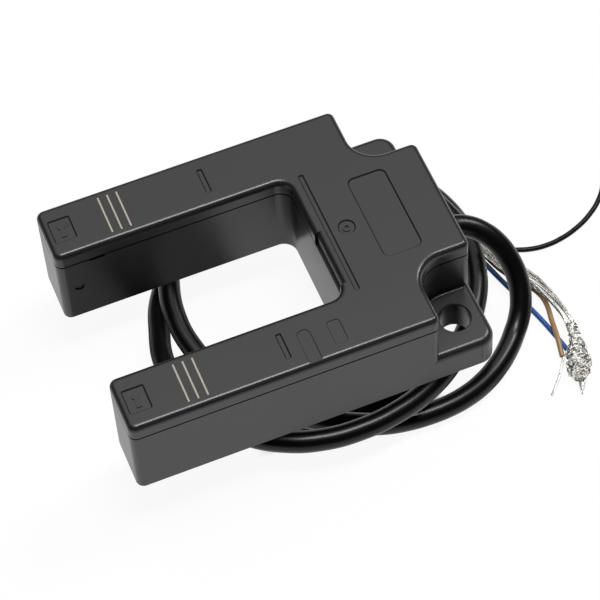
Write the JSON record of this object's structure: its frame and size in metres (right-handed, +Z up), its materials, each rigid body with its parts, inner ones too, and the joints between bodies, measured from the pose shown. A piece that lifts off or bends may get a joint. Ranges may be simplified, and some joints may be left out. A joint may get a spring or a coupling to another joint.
{
  "type": "magnetic switch",
  "caption": "Fork-type magnetic switch: a vane passing through the slot between its arms switches a contact. Two fixing ears, free shielded cable with a stripped end.",
  "frame": {"origin": "midway between the two fixing holes, on the underside of the housing", "axes": "+X across the arms, -Y towards the arm tips, +Z up out of the cover"},
  "size_m": [0.0977, 0.1601, 0.0401],
  "materials": {
    "housing_black": "fine-grained satin moulding",
    "seal_rubber": "soft matt",
    "mark_cream": "matt inlay",
    "screw_steel": "zinc plated",
    "grommet_rubber": "matt",
    "clamp_plastic": "moulded",
    "board_green": "solder mask",
    "terminal_green": "moulded",
    "chip_black": "moulded epoxy",
    "capacitor_blue": "sleeve",
    "resistor_tan": "glazed",
    "reed_glass": "clear green tint",
    "blade_nickel": "nickel iron",
    "tinned_wire": "tinned copper",
    "magnet_grey": "sintered ferrite",
    "yoke_steel": "rolled",
    "holder_cream": "moulded",
    "core_brown": "extruded insulation",
    "core_blue": "extruded insulation",
    "core_black": "extruded insulation",
    "cable_black": "glossy extruded sheath",
    "braid_tinned": "tinned copper braid"
  },
  "bodies": {
    "root": {"base_shell": "housing_black", "top_cover": "housing_black", "cover_seal": "seal_rubber", "gauge_marks": "mark_cream", "housing_screws": "screw_steel", "cable_grommet": "grommet_rubber", "cable_clamp": "clamp_plastic", "clamp_screws": "screw_steel", "main_board": "board_green", "board_screws": "screw_steel", "terminal_block": "terminal_green", "output_transistor": "chip_black", "suppressor_diode": "chip_black", "smoothing_capacitor": "capacitor_blue", "resistors": "resistor_tan", "sensor_board": "board_green", "reed_glass": "reed_glass", "reed_blade_front": "blade_nickel", "reed_blade_rear": "blade_nickel", "sensor_leads": "tinned_wire", "bias_magnet": "magnet_grey", "yoke_plate": "yoke_steel", "magnet_holder": "holder_cream", "lead_brown": "core_brown", "lead_blue": "core_blue", "lead_black": "core_black", "lead_drain": "tinned_wire", "cable_sheath": "cable_black", "shield_braid": "braid_tinned", "core_brown": "core_brown", "core_blue": "core_blue", "core_black": "core_black", "bare_strands": "tinned_wire"}
  },
  "joints": []
}
